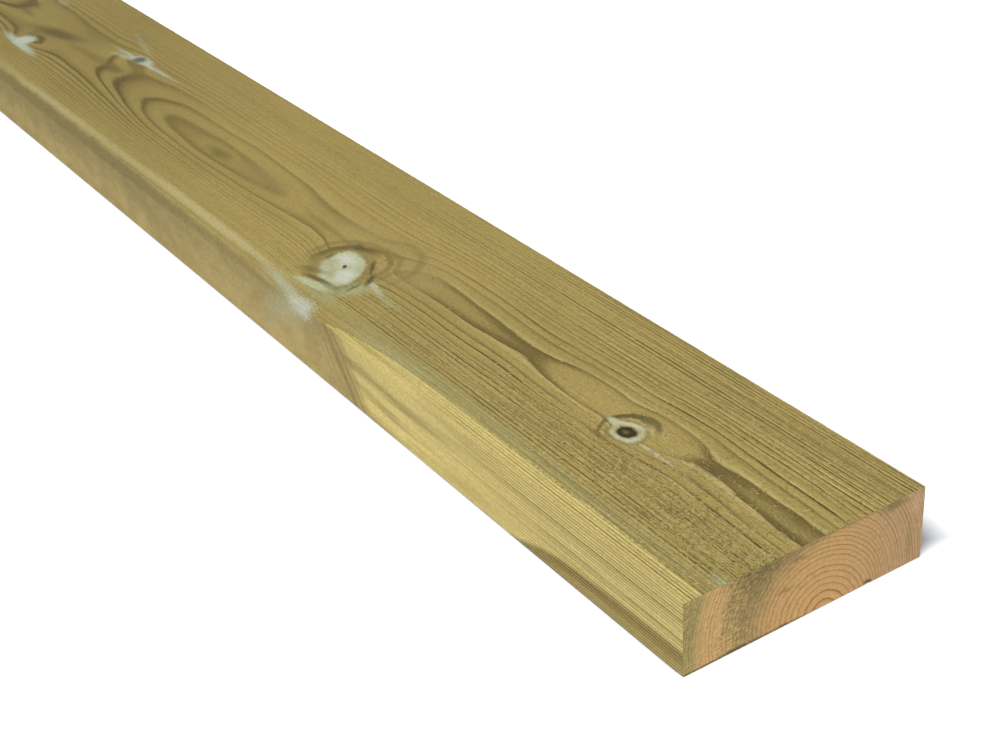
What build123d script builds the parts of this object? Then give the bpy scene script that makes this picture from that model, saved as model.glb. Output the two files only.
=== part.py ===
from build123d import *
import os
from math import hypot

# A sawn board lying on its back face, in millimetres with +Z up. +X runs along the
# length towards the freshly trimmed end and -Y towards the edge that carries the wane.
# The origin is the middle of the back face.

# Trade size of the board
length = 1800.0
width = 120.0
thickness = 34.0

# Rounding that handling leaves on the sawn long edges
arris_radius = 0.8

# The log that the board was cut from. Its pith runs along the board, just under the back
# face, so the front corner furthest from the pith reaches out to the bark.
pith_inset = 70.0
pith_drop = 2.0
wane_depth = 2.7
log_taper_per_metre = 1.0

# The log swells where it carried branches. The wane starts where that swelling runs out,
# measured along the board from the trimmed end.
knot_swelling = 5.4
swelling_end = 372.0
swelling_run = 120.0

# How far the log runs on past each trimmed end of the board
trim_allowance = 25.0


def sawn_plank():
    """The square-edged plank as the saw leaves it, with its arrises just off sharp."""
    radius = min(arris_radius, 0.45 * min(width, thickness))
    section = Plane.YZ * Pos(0, thickness / 2) * RectangleRounded(width, thickness, radius)
    return extrude(section, amount=length / 2, both=True)


def round_log():
    """The round of the log, turned about its pith from its profile along the board."""
    corner_reach = hypot(pith_inset, thickness + pith_drop)
    radius_past_knots = corner_reach - wane_depth
    radius_at_knots = radius_past_knots + knot_swelling

    near = length / 2 + trim_allowance
    far = -length / 2 - trim_allowance
    run_start = length / 2 - swelling_end + swelling_run
    run_stop = length / 2 - swelling_end
    taper = log_taper_per_metre / 1000
    radius_far = radius_past_knots - taper * (run_stop - far)

    pith = Plane(origin=(0, pith_inset - width / 2, -pith_drop), x_dir=(1, 0, 0), z_dir=(0, -1, 0))
    swelling = Spline(
        (run_start, radius_at_knots),
        (run_stop, radius_past_knots),
        tangents=[(-1, 0), (-1, -taper)],
    )
    outline = [
        Line((near, 0), (near, radius_at_knots)),
        Line((near, radius_at_knots), (run_start, radius_at_knots)),
        swelling,
        Line((run_stop, radius_past_knots), (far, radius_far)),
        Line((far, radius_far), (far, 0)),
        Line((far, 0), (near, 0)),
    ]
    profile = pith * make_face(outline)
    return revolve(profile, axis=Axis(pith.origin, pith.x_dir))


def wood_board():
    """The board: as much of the sawn plank as the round log could fill."""
    return sawn_plank() & round_log()


os.makedirs("parts", exist_ok=True)
export_step(wood_board(), "parts/board.step")
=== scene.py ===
"""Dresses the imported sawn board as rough, pressure-treated pine and sets it on a pale floor."""

import logging
import math
from dataclasses import dataclass
from enum import Enum

import bmesh
import bpy
import numpy as np
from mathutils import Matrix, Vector


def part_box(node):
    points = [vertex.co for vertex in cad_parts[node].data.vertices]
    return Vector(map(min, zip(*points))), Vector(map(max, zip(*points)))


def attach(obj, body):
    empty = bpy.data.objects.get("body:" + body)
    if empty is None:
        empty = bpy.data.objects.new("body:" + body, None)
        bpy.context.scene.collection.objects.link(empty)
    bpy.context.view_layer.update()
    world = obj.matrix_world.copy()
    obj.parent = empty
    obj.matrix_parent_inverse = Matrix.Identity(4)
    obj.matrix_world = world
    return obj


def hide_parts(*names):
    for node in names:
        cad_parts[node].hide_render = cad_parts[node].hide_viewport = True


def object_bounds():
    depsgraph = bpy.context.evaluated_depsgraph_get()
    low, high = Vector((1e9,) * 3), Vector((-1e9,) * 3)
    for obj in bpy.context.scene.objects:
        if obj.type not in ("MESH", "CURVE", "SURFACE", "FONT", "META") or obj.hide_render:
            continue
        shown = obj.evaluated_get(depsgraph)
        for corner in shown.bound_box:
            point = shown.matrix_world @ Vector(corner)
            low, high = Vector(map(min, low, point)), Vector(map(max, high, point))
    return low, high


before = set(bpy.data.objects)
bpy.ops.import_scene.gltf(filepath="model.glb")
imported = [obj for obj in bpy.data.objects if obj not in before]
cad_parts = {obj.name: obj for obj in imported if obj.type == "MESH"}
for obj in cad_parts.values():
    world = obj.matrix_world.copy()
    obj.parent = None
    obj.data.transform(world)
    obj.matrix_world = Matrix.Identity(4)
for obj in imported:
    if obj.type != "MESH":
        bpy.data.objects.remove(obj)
CAD_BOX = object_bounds()

MM = 0.001
BODY = "root"
LOG = logging.getLogger("board")

Tree = bpy.types.NodeTree
Socket = bpy.types.NodeSocket
Stations = tuple[tuple[float, float], ...]
Stops = tuple[tuple[float, float | str], ...]
Strips = tuple[tuple[int, float], ...]

# Starts of the random numbers
RING_SEED, TEAR_SEED, WANE_SEED, SLIVER_SEED = 11, 5, 3, 23

# A point no further than this from a face lies on it, as a share of the board's size or in metres
ON_FACE = 1e-6

# Shares of a ring where its late wood starts, over which it darkens, and over which it ends, and how
# late it darkens
LATE_START, LATE_RUN, LATE_END, LATE_BEND = 0.55, 0.35, 0.06, 1.4

# Sockets of the Mix node, which repeats its names for each kind of value
MIX_A, MIX_B, MIX_RESULT = 6, 7, 2

# Settings that many nodes share
TIMES = {"operation": "MULTIPLY"}
PLUS = {"operation": "ADD"}
GREATER = {"operation": "MAXIMUM"}
SCALED = {"operation": "SCALE"}
COLOURS = {"data_type": "RGBA"}


class Kind(Enum):
    """The kinds of shader node in use."""

    ATTRIBUTE = "ShaderNodeAttribute"
    BACKGROUND = "ShaderNodeBackground"
    BUMP = "ShaderNodeBump"
    COORDS = "ShaderNodeTexCoord"
    DIFFUSE = "ShaderNodeBsdfDiffuse"
    EMISSION = "ShaderNodeEmission"
    LIGHT_PATH = "ShaderNodeLightPath"
    MAPPING = "ShaderNodeMapping"
    MATH = "ShaderNodeMath"
    MIX = "ShaderNodeMix"
    MIX_SHADER = "ShaderNodeMixShader"
    ADD_SHADER = "ShaderNodeAddShader"
    NOISE = "ShaderNodeTexNoise"
    RAMP = "ShaderNodeValToRGB"
    RANGE = "ShaderNodeMapRange"
    SPLIT = "ShaderNodeSeparateXYZ"
    SURFACE_OUT = "ShaderNodeOutputMaterial"
    VECTOR = "ShaderNodeVectorMath"
    WORLD_OUT = "ShaderNodeOutputWorld"


class StainShape(Enum):
    """What a stain covers: all of its oval, the oval's rim, or the side of the rim that it faces."""

    PATCH = 0
    RIM = 1
    ARC = 2


def linear(colour: str) -> tuple[float, float, float, float]:
    """Turns an sRGB hex colour into linear light.

    Args:
        colour: the colour as "#RRGGBB".

    Returns:
        Red, green, blue and a full alpha.
    """
    parts = [int(colour[i : i + 2], 16) / 255 for i in (1, 3, 5)]
    light = [p / 12.92 if p <= 0.04045 else ((p + 0.055) / 1.055) ** 2.4 for p in parts]
    return (*light, 1.0)


def add_node(tree: Tree, kind: Kind, settings: dict, links: dict, output: int | str = 0) -> Socket | None:
    """Adds a node to a tree.

    Args:
        tree: the node tree.
        kind: the node's kind.
        settings: values by the name of a property, or by the name or number of an input. The value of
            "stops" fills a colour ramp with places and a grey level or hex colour each.
        links: output sockets by the name or number of the input that they feed.
        output: name or number of the output to hand back.

    Returns:
        That output of the new node, or nothing for a node without outputs.
    """
    node = tree.nodes.new(kind.value)
    inputs = {}
    for name, value in settings.items():
        if name == "stops":
            elements = node.color_ramp.elements
            for place, _ in value[len(elements) :]:
                elements.new(place)
            for element, (place, level) in zip(elements, value, strict=True):
                element.position = place
                element.color = linear(level) if isinstance(level, str) else (level, level, level, 1)
        elif isinstance(name, str) and hasattr(node, name):
            setattr(node, name, value)
        else:
            inputs[name] = value
    for name, value in inputs.items():
        node.inputs[name].default_value = value
    for name, socket in links.items():
        tree.links.new(socket, node.inputs[name])
    return node.outputs[output] if len(node.outputs) else None


def streaks(tree: Tree, coords: Socket, size: tuple[float, float], detail: float = 2.0) -> Socket:
    """Noise drawn out along the grain.

    Args:
        tree: the node tree.
        coords: the object coordinates.
        size: length and width of a streak, in mm.
        detail: octaves of finer noise.

    Returns:
        The socket with values about 0.5.
    """
    length, width = size
    scale = (1 / (length * MM), 1 / (width * MM), 1 / (width * MM))
    drawn = add_node(tree, Kind.MAPPING, {"Scale": scale}, {"Vector": coords})
    return add_node(tree, Kind.NOISE, {"Scale": 1.0, "Detail": detail}, {"Vector": drawn})


def remap(
    tree: Tree,
    value: Socket,
    low: float,
    high: float,
    start: float = 0.0,
    stop: float = 1.0,
    soft: bool = False,
) -> Socket:
    """Maps values from low..high to start..stop, and holds them there outside.

    Args:
        tree: the node tree.
        value: the values.
        low: the value that becomes start.
        high: the value that becomes stop.
        start: the result at low.
        stop: the result at high.
        soft: whether the results ease in and out.

    Returns:
        The socket with the results.
    """
    settings = {"From Min": low, "From Max": high, "To Min": start, "To Max": stop}
    if soft:
        settings["interpolation_type"] = "SMOOTHSTEP"
    return add_node(tree, Kind.RANGE, settings, {"Value": value})


def times(tree: Tree, first: Socket, second: Socket) -> Socket:
    """Multiplies two values."""
    return add_node(tree, Kind.MATH, TIMES, {0: first, 1: second})


def plus(tree: Tree, first: Socket, second: Socket) -> Socket:
    """Adds two values."""
    return add_node(tree, Kind.MATH, PLUS, {0: first, 1: second})


def greater(tree: Tree, first: Socket, second: Socket) -> Socket:
    """Takes the greater of two values."""
    return add_node(tree, Kind.MATH, GREATER, {0: first, 1: second})


def fraction(tree: Tree, value: Socket) -> Socket:
    """Keeps what a value has after its point."""
    return add_node(tree, Kind.MATH, {"operation": "FRACT"}, {0: value})


def ramp(tree: Tree, value: Socket, stops: Stops) -> Socket:
    """Reads values off a ramp of grey levels or hex colours."""
    return add_node(tree, Kind.RAMP, {"stops": stops}, {"Fac": value})


def coordinate(tree: Tree, coords: Socket, name: str) -> Socket:
    """Takes one coordinate, "X", "Y" or "Z"."""
    return add_node(tree, Kind.SPLIT, {}, {"Vector": coords}, name)


def blend(tree: Tree, factor: Socket, first: Socket, second: Socket) -> Socket:
    """Goes from one value to another as a factor rises from 0 to 1."""
    return add_node(tree, Kind.MIX, {}, {"Factor": factor, "A": first, "B": second})


def tint(tree: Tree, cover: Socket, base: Socket, colour: str) -> Socket:
    """Lays a plain colour over another, by how far it covers that."""
    return add_node(
        tree, Kind.MIX, COLOURS | {MIX_B: linear(colour)}, {"Factor": cover, MIX_A: base}, MIX_RESULT
    )


def scaled(tree: Tree, colour: Socket, factor: Socket) -> Socket:
    """Lightens or darkens a colour by a factor."""
    return add_node(tree, Kind.VECTOR, SCALED, {0: colour, "Scale": factor})


def start_finish(name: str) -> tuple[bpy.types.Material, Tree, Socket]:
    """Starts a material.

    Args:
        name: the material's name.

    Returns:
        The material, its node tree and the object coordinates in it.
    """
    material = bpy.data.materials.new(name)
    material.use_nodes = True
    tree = material.node_tree
    return material, tree, add_node(tree, Kind.COORDS, {}, {}, "Object")


def feed_shader(tree: Tree, values: dict[str, float], links: dict[str, Socket]) -> None:
    """Sets the inputs of a material's shader.

    Args:
        tree: the material's node tree.
        values: constants by the name of the input.
        links: output sockets by the name of the input that they feed.
    """
    shader = tree.nodes["Principled BSDF"]
    for name, value in values.items():
        shader.inputs[name].default_value = value
    for name, socket in links.items():
        tree.links.new(socket, shader.inputs[name])


def smooth_through(stations: Stations, at: np.ndarray) -> np.ndarray:
    """Reads a smooth curve through a few stations.

    Args:
        stations: places and values, with the places rising.
        at: the places to read.

    Returns:
        The values there, held level past the first and last station.
    """
    places, values = np.array(stations, float).T
    slopes = np.gradient(values, places)
    at = np.clip(at, places[0], places[-1])
    i = np.clip(np.searchsorted(places, at, side="right") - 1, 0, len(places) - 2)
    run = places[i + 1] - places[i]
    t = (at - places[i]) / run
    start = (1 + 2 * t) * (1 - t) ** 2 * values[i] + t * (1 - t) ** 2 * run * slopes[i]
    stop = t**2 * (3 - 2 * t) * values[i + 1] + t**2 * (t - 1) * run * slopes[i + 1]
    return start + stop


def ripple(
    rng: np.random.Generator, along: np.ndarray, across: np.ndarray, sizes: tuple[float, float]
) -> np.ndarray:
    """A smooth random field, as a sum of waves.

    Args:
        rng: the source of each wave's direction and start.
        along: places along the board, in mm.
        across: places across the grain, in mm.
        sizes: shortest wavelengths along and across, in mm.

    Returns:
        Values of about -1 to 1.
    """
    total = np.zeros_like(along)
    count = 7
    for _ in range(count):
        long, wide = rng.uniform(1.0, 2.4, 2) * sizes
        sign = rng.choice((-1.0, 1.0))
        start = rng.uniform(0, 2 * math.pi)
        total += np.sin(2 * math.pi * (along / long + sign * across / wide) + start)
    return total / math.sqrt(2 * count)


@dataclass(frozen=True)
class Knot:
    """A branch that the saw cut through, in mm from the trimmed end and the waney edge."""

    along: float
    across: float

    # How many rings it pushes outwards, and how far round it
    push: float
    reach_along: float
    reach_across: float

    # Radius of its disc, and depth and radius of its sunken heart
    disc: float = 0.0
    sunk: float = 0.0
    heart: float = 4.0


@dataclass(frozen=True)
class Stain:
    """A soft-edged patch of colour on the board, in mm from the trimmed end, waney edge and back."""

    along: float
    across: float
    half_along: float
    half_across: float
    colour: str
    strength: float = 1.0

    # How far its edge fades, as a share of its size, and its turn about the face's normal, in degrees
    soft: float = 0.4
    turn: float = 0.0
    up: float = 34.0
    half_up: float = 6.0
    shape: StainShape = StainShape.PATCH

    # How ragged its edge is
    grit: float = 0.4

    def reaches(self, start: float, stop: float) -> bool:
        """Says whether the stain shows on a stretch of the board.

        Args:
            start: where the stretch starts, in mm.
            stop: where it stops.

        Returns:
            True if some of the stain is there.
        """
        # Far enough for the fading and the bends of its edge
        turned = self.half_across * abs(math.sin(math.radians(self.turn)))
        reach = 2.5 * max(self.half_along, turned) + 3
        return self.along - reach < stop and self.along + reach > start


KNOTS = (
    Knot(103, 53.5, 0.55, 22, 16, disc=8, sunk=0.7, heart=4.2),
    Knot(310, 35, 2.6, 25, 19, disc=16),
    Knot(660, 79, 1.3, 22, 11, disc=6),
    Knot(694, 95, 0.8, 14, 8, disc=5),
    Knot(748, 30, 2.2, 26, 14, disc=9),
    Knot(745, 57, 0.2, 18, 11, disc=7),
    Knot(1080, 40, 1.8, 24, 14, disc=11),
    Knot(1108, 84, 0.9, 17, 11, disc=7, sunk=0.5, heart=3.6),
    Knot(1425, 68, 1.4, 20, 13, disc=9),
    Knot(1690, 36, 2.0, 24, 14, disc=11),
)


@dataclass(frozen=True)
class Log:
    """The log that the board was sawn from: where its pith runs and how its rings lie, in mm."""

    thickness: float
    first_ring: float = 6.8
    crowding: float = 1.5
    knots: tuple[Knot, ...] = KNOTS

    # The pith's place across, from which the rings crest a little nearer to the waney edge, and how
    # much closer together they lie low down towards the square edge, from where and over what run
    pith_across: float = 69.5
    crowded_side: float = 0.22
    crowded_from: float = 18.0
    crowded_run: float = 16.0

    # Least and greatest share of the way from the pith to the front face
    share_limits: tuple[float, float] = (0.08, 1.2)

    # Waves of the rings, in rings, with their lengths along and across, calmer this near the crest
    waves: tuple[tuple[float, tuple[float, float]], ...] = ((0.12, (150.0, 34.0)), (0.06, (48.0, 12.0)))
    calm_half: float = 14.0

    # Rings of uneven width, outside the wide even ones round the pith, and the beats that make them so
    uneven_from: float = 14.5
    uneven_run: float = 2.0
    uneven: float = 0.20
    beats: Stations = ((2.6, 0.7), (1.37, 2.0), (3.9, 4.0))

    # Where the rings crest across the board, and how many of them lie under the front face there.
    # Away from the crest they run straight, as about a straight pith.
    crest_across: Stations = (
        (0, 62.8), (30, 63.8), (72, 65.5), (103, 64), (132, 61.8), (168, 60.8), (204, 59.6),
        (252, 60), (300, 59), (340, 56), (410, 53), (480, 52), (560, 53), (640, 57), (760, 60),
        (1000, 64), (1300, 60), (1800, 63),
    )
    face_rings: Stations = (
        (0, 12.77), (26, 12.75), (46, 12.85), (58, 12.92), (65, 12.92), (71, 12.82), (79, 12.58), (92, 12.46),
        (104, 12.48), (119, 12.70), (133, 12.38), (156, 12.50), (168, 12.74), (180, 12.88), (193, 12.88),
        (204, 12.82), (222, 12.72), (240, 12.67), (258, 12.63), (272, 12.70), (284, 13.05), (297, 13.8),
        (312, 14.3), (336, 14.5), (376, 14.5),
        (410, 14.0), (450, 13.7), (483, 13.55), (516, 13.7), (556, 14.0), (592, 15.0),
        (629, 16.0), (660, 16.8), (720, 17.3), (800, 17.0), (950, 15.6), (1100, 16.3),
        (1300, 14.8), (1500, 15.5), (1800, 14.6),
    )
    straight_across: float = 61.5
    straight_rings: float = 12.8
    crest_reach: float = 28.0

    # How far the pale outer wood reaches in from the waney edge on the front face
    outer_wood: Stations = (
        (0, 9.4), (60, 9.7), (120, 9.3), (190, 9.3), (230, 6.6), (258, 2.4), (268, -0.6), (300, -6.0),
    )

    # Height of a dark growth line on the waney edge, which runs out at the back
    growth_line: Stations = (
        (0, 9.3), (30, 9.1), (58, 8.1), (80, 6.2), (92, 3.8), (103, 0.6), (116, -3.0), (150, -14.0),
    )

    # The round of the log, which leaves the wane on the corner that is furthest from the pith
    wane_pith_across: float = 70.0
    wane_pith_drop: float = 2.0
    wane_depth: float = 2.7
    knot_swelling: float = 5.4
    swelling_end: float = 372.0
    swelling_run: float = 120.0
    taper: float = 0.001

    def crest(self, along: np.ndarray) -> tuple[np.ndarray, np.ndarray]:
        """Where the rings crest and how deep their pith lies.

        Args:
            along: places along the board, in mm.

        Returns:
            The crest's place across the board, and the pith's height over the back face.
        """
        rings = smooth_through(self.face_rings, along)
        depth = self.first_ring * rings ** (1 / self.crowding)
        return smooth_through(self.crest_across, along), self.thickness - depth

    def rings(self, along: np.ndarray, across: np.ndarray, up: np.ndarray) -> np.ndarray:
        """Counts the growth rings from the pith out to each place, pushed outwards round the knots.

        Args:
            along: places along the board, in mm.
            across: places across it, in mm.
            up: heights over the back face, in mm.

        Returns:
            The ring count, whose fraction runs from early wood to late wood.
        """
        crest_across, pith_up = self.crest(along)
        near = np.exp(-(((across - crest_across) / self.crest_reach) ** 2))
        straight_up = self.thickness - self.first_ring * self.straight_rings ** (1 / self.crowding)
        pith_up = straight_up + (pith_up - straight_up) * near
        share = np.clip((up - pith_up) / (self.thickness - pith_up), *self.share_limits)
        crest_across = self.straight_across + (crest_across - self.straight_across) * near
        centre = self.pith_across + (crest_across - self.pith_across) * share
        off = across - centre
        sideways = np.clip((off - self.crowded_from) / self.crowded_run, 0, 1)
        off = off * (1 + self.crowded_side * np.maximum(1 - share, 0) * sideways)
        radius = np.hypot(off, up - pith_up)
        count = (radius / self.first_ring) ** self.crowding
        rng = np.random.default_rng(RING_SEED)
        calm = np.minimum(1, np.abs(across - centre) / self.calm_half)
        for strength, sizes in self.waves:
            count += strength * ripple(rng, along, across, sizes) * calm
        for knot in self.knots:
            core_across = centre + (knot.across - centre) * share
            off_along = (along - knot.along) / (knot.reach_along * share)
            off_across = (across - core_across) / (knot.reach_across * share)
            count -= knot.push * share * np.exp(-(off_along**2) - off_across**2)
        outer = np.clip((count - self.uneven_from) / self.uneven_run, 0, 1)
        wander = sum(np.sin(count * beat + start) for beat, start in self.beats)
        return np.maximum(count + self.uneven * outer * wander / 2, 0.0)

    def outside(self, along: np.ndarray) -> np.ndarray:
        """Gives the log's radius about its straight axis.

        Args:
            along: places along the board, in mm.

        Returns:
            The radius there, in mm.
        """
        corner = math.hypot(self.wane_pith_across, self.thickness + self.wane_pith_drop)
        past = corner - self.wane_depth
        t = np.clip((along - self.swelling_end + self.swelling_run) / self.swelling_run, 0, 1)
        eased = t * t * (3 - 2 * t)
        fall = self.taper * np.maximum(along - self.swelling_end, 0)
        return past + self.knot_swelling * (1 - eased) - fall


def late_wood(rings: np.ndarray) -> np.ndarray:
    """How dark and dense the wood is, from 0 in early wood to 1 at a ring's end.

    Args:
        rings: ring counts.

    Returns:
        The share of late wood.
    """
    phase = rings % 1.0
    rise = np.clip((phase - LATE_START) / LATE_RUN, 0, 1) ** LATE_BEND
    drop = np.clip((1.0 - phase) / LATE_END, 0, 1)
    return rise * drop


@dataclass
class SawnBoard:
    """The board as a mesh with its sawn relief, inside the box of the solid that it replaces."""

    log: Log
    low: Vector
    high: Vector
    name: str = "sawn_board"
    replaced: str = "board"

    # Depths of the relief, in mm
    saw_allowance: float = 0.12
    cup: float = 0.6
    groove: float = 0.24
    tear: float = 0.04
    tear_limit: float = 2.5
    back_tear: float = 0.02
    edge_allowance: float = 0.07
    edge_groove: float = 0.05
    edge_tear: float = 0.015
    end_allowance: float = 0.12
    end_groove: float = 0.06
    end_tear: float = 0.03
    arris_radius: float = 0.45
    smooth_angle: float = 50.0

    # A knot's heart is sunk by the first of these less the second per radius, at most all of its depth
    heart_slope: tuple[float, float] = (1.6, 1.4)

    # The late wood is broad along the crest, further out and more to one side past the big knot
    crest_half: float = 15.0
    far_crest: float = 18.0
    far_crest_from: float = 430.0
    far_crest_run: float = 120.0
    far_crest_shift: float = 0.4

    # It narrows this far past each of the first knots, over this reach
    narrow_past: Stations = ((12.0, 20.0), (10.0, 30.0))
    narrowing: float = 0.85

    # Where the grain is faint along the crest, round the small knot
    faint_along: float = 112.0
    faint_half: float = 40.0
    fainting: float = 0.55

    # Where the saw tore the grain most, in mm
    torn_along: float = 260.0
    torn_across: float = 29.0
    torn_half: float = 19.0

    # How torn the grain is anywhere, how much more near the trimmed end and where it is torn most, and
    # how much less on a knot
    torn_all: float = 0.25
    torn_near: float = 0.45
    torn_most: float = 0.48
    torn_knot: float = 0.9

    # Waves of the wane, with their lengths along and up, and the share cut away where it is full
    wane_wave: float = 0.25
    wane_waves: tuple[float, float] = (90.0, 30.0)
    wane_full: float = 0.004

    # A chip that the crosscut saw broke out of the back edge of the trimmed end
    chip_across: float = 91.5
    chip_half: float = 1.3
    chip_depth: float = 0.9

    # Stretches along the board that each have a finish with their own stains, in mm
    stretches: tuple[float, ...] = (205.0, 430.0, 1800.0)

    # A face belongs to a crosscut end where its normal points this far along the board
    end_facing: float = 0.7

    # Strips of the mesh up to each place, in mm, finer near the trimmed end and round the knots
    strips_along: Strips = ((43, 130), (32, 260), (40, 370), (30, 620), (36, 800), (59, 1800))
    strips_across: Strips = ((3, 1.2), (100, 51), (36, 75), (98, 118.8), (3, 120))
    strips_up: Strips = ((3, 1.2), (12, 32.8), (3, 34))

    # Cuts that make as many even strips, in two passes each, and which of them the back face keeps
    cuts: tuple[tuple[int, int], ...] = ((14, 15), (14, 15), (5, 2))
    back_every: tuple[int, int] = (2, 3)

    def build(self) -> bpy.types.Object:
        """Models the board.

        Returns:
            The board's object.
        """
        bpy.ops.object.select_all(action="DESELECT")
        bpy.ops.mesh.primitive_cube_add(size=1.0, location=(self.low + self.high) / 2)
        board = bpy.context.object
        board.name = board.data.name = self.name
        board.scale = self.high - self.low
        bpy.ops.object.transform_apply(location=True, rotation=True, scale=True)
        bpy.ops.object.mode_set(mode="EDIT")
        bpy.ops.mesh.select_mode(type="EDGE")
        for axis, passes in enumerate(self.cuts):
            for count in passes:
                self._slice(board.data, axis, count)
        self._thin_back(board.data)
        bpy.ops.object.mode_set(mode="OBJECT")
        self._shape(board.data)
        bpy.ops.object.shade_smooth_by_angle(angle=math.radians(self.smooth_angle))
        return board

    def _slice(self, mesh: bpy.types.Mesh, axis: int, count: int) -> None:
        """Cuts every edge that runs along an axis into equal lengths.

        Args:
            mesh: the mesh in edit mode.
            axis: 0, 1 or 2 for X, Y or Z.
            count: how many cuts each edge gets.
        """
        bpy.ops.mesh.select_all(action="DESELECT")
        shape = bmesh.from_edit_mesh(mesh)
        for edge in shape.edges:
            run = edge.verts[1].co - edge.verts[0].co
            edge.select_set(abs(run[axis]) > 0.9 * run.length)
        bmesh.update_edit_mesh(mesh)
        bpy.ops.mesh.subdivide(number_cuts=count)

    def _thin_back(self, mesh: bpy.types.Mesh) -> None:
        """Leaves only some of the cuts on the flat back face.

        Args:
            mesh: the sliced box in edit mode.
        """
        bpy.ops.mesh.select_all(action="DESELECT")
        shape = bmesh.from_edit_mesh(mesh)
        size = self.high - self.low
        counts = [math.prod(cut + 1 for cut in passes) for passes in self.cuts]
        for edge in shape.edges:
            middle = (edge.verts[0].co + edge.verts[1].co) / 2 - self.low
            run = edge.verts[1].co - edge.verts[0].co
            across = 1 if abs(run[0]) > abs(run[1]) else 0
            index = round(middle[across] / size[across] * counts[across])
            kept = index % self.back_every[across] == 0 or index in (0, counts[across])
            edge.select_set(middle[2] < ON_FACE and not kept)
        bmesh.update_edit_mesh(mesh)
        bpy.ops.mesh.dissolve_edges(use_verts=True)

    def _place(self, share: np.ndarray, strips: Strips) -> np.ndarray:
        """Moves even cuts to the strips' places.

        Args:
            share: even places of the cuts, from 0 to 1.
            strips: counts of strips up to each place.

        Returns:
            The places, in mm.
        """
        counts = np.cumsum([0] + [count for count, _ in strips])
        places = [0.0] + [place for _, place in strips]
        return np.interp(share * counts[-1], counts, places)

    def roughness(self, along: np.ndarray, across: np.ndarray) -> np.ndarray:
        """Says how torn the sawn grain is: most beside the pale strip near the trimmed end, least on knots.

        Args:
            along: places along the board, in mm.
            across: places across it, in mm.

        Returns:
            Roughness of about 0 to 1.2.
        """
        near = np.exp(-((along / self.torn_along) ** 2))
        beside = np.exp(-(((across - self.torn_across) / self.torn_half) ** 2))
        rough = self.torn_all + self.torn_near * near + self.torn_most * near * beside
        for knot in self.log.knots:
            if knot.disc:
                off = np.hypot(along - knot.along, across - knot.across) / knot.disc
                rough = rough * (1 - self.torn_knot * np.exp(-(off**4)))
        return rough

    def front_drop(self, along: np.ndarray, across: np.ndarray) -> np.ndarray:
        """Says how far the sawn front face lies below the face of the solid.

        Args:
            along: places along the board, in mm.
            across: places across it, in mm.

        Returns:
            The drop, in mm.
        """
        width = self.strips_across[-1][1]
        up = np.full_like(along, self.log.thickness)
        rings = self.log.rings(along, across, up)
        drop = self.saw_allowance + self.cup * (1 - (2 * across / width - 1) ** 2)
        drop = drop + self.groove * late_wood(rings) * self.roughness(along, across)
        most, per_radius = self.heart_slope
        for knot in self.log.knots:
            off = np.hypot(along - knot.along, across - knot.across) / knot.heart
            drop = drop + knot.sunk * np.clip(most - per_radius * off, 0, 1)
        return drop

    def in_frame(self, along: np.ndarray, across: np.ndarray, up: np.ndarray) -> np.ndarray:
        """Turns places on the board, in mm, into rows of the frame's coordinates."""
        return np.stack([self.high[0] - along * MM, self.low[1] + across * MM, self.low[2] + up * MM], 1)

    def _shape(self, mesh: bpy.types.Mesh) -> None:
        """Moves the cuts to their places, then rounds, wanes, roughens and marks the board.

        Args:
            mesh: the sliced box.
        """
        flat = np.empty(len(mesh.vertices) * 3)
        mesh.vertices.foreach_get("co", flat)
        share = (flat.reshape(-1, 3) - np.array(self.low)) / np.array(self.high - self.low)
        along = self._place(1 - share[:, 0], self.strips_along)
        across = self._place(share[:, 1], self.strips_across)
        up = self._place(share[:, 2], self.strips_up)
        width, thickness = self.strips_across[-1][1], self.strips_up[-1][1]

        on_far, on_left, on_back = (share < ON_FACE).T
        on_near, on_right, on_front = (share > 1 - ON_FACE).T
        rings = self.log.rings(along, across, up)
        rng = np.random.default_rng(TEAR_SEED)
        rough = np.clip(rng.normal(0, 1, len(along)), -self.tear_limit, self.tear_limit)

        drop = np.where(on_front, self.front_drop(along, across) + self.tear * rough, 0)
        lift = np.where(on_back, self.back_tear * np.abs(rough), 0)
        edge_in = self.edge_allowance + self.edge_groove * late_wood(rings) + self.edge_tear * rough
        end_in = self.end_allowance + self.end_groove * late_wood(rings) + self.end_tear * rough

        across, up, edge = self._round(along, across, up)
        across = across + np.where(on_left, edge_in, 0) - np.where(on_right, edge_in, 0)
        up = up - drop * np.clip((up - thickness / 2) / (thickness / 2), 0, 1) + lift
        along = along + np.where(on_near, end_in, 0) - np.where(on_far, end_in, 0)

        off = np.clip(1 - np.abs(across - self.chip_across) / self.chip_half, 0, 1)
        up = up + np.where(on_back & on_near, self.chip_depth * off, 0)

        mesh.vertices.foreach_set("co", self.in_frame(along, across, up).ravel())
        mesh.update()
        broad, faint = self._crest_marks(along, across)
        marks = {
            "ring": rings,
            "faint": faint,
            "edge": edge,
            "torn": self.roughness(along, across),
            "crest": broad,
            "outer": smooth_through(self.log.outer_wood, along) - np.minimum(across, width / 2),
            "growth": up - smooth_through(self.log.growth_line, along),
        }
        for name, values in marks.items():
            mesh.attributes.new(name, "FLOAT", "POINT").data.foreach_set("value", values)

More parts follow.
